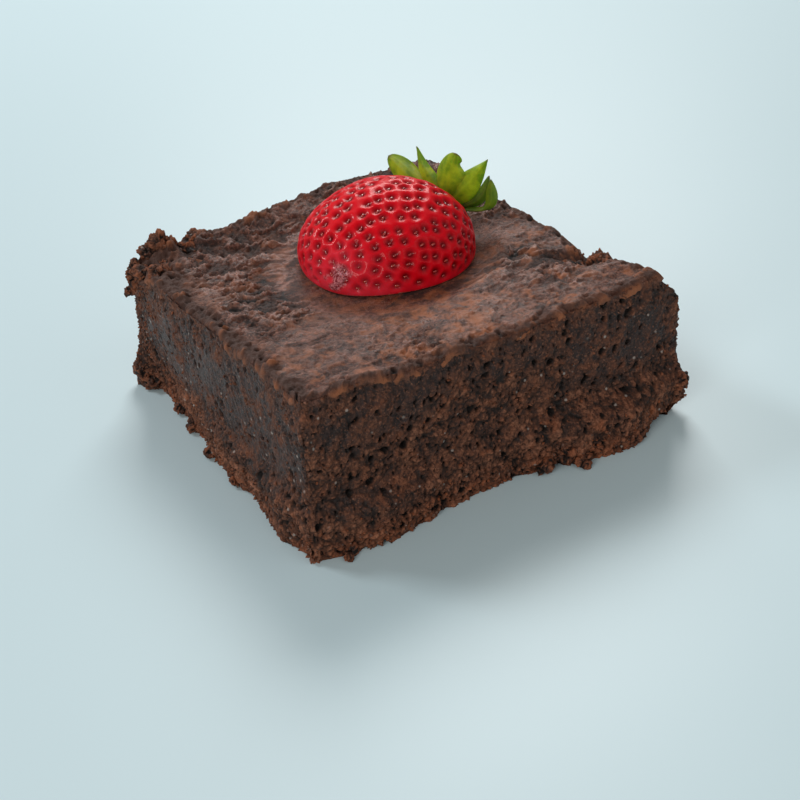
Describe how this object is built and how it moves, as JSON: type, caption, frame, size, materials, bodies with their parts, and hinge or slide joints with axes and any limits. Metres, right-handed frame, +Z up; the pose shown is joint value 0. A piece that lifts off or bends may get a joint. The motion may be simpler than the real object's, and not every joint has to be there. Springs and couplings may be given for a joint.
{
  "type": "chocolate brownie",
  "caption": "Square cut chocolate brownie with a cracked crust, carrying a halved strawberry with its green leaves, cut face down.",
  "frame": {"origin": "Middle of the bounding box at the height of the flat base.", "axes": "+Z up out of the crust. -Y is the front cut face and -X the left cut face; the strawberry's tip points to the front left, its leaves to the back right."},
  "size_m": [0.0784, 0.078, 0.0414],
  "materials": {
    "chocolate_crumb": "matte baked crumb with a thin satin crust",
    "ripe_strawberry": "glossy pitted skin",
    "strawberry_leaf": "satin leaf"
  },
  "bodies": {
    "root": {"brownie": "chocolate_crumb", "strawberry_half": "ripe_strawberry", "calyx": "strawberry_leaf"}
  },
  "joints": []
}
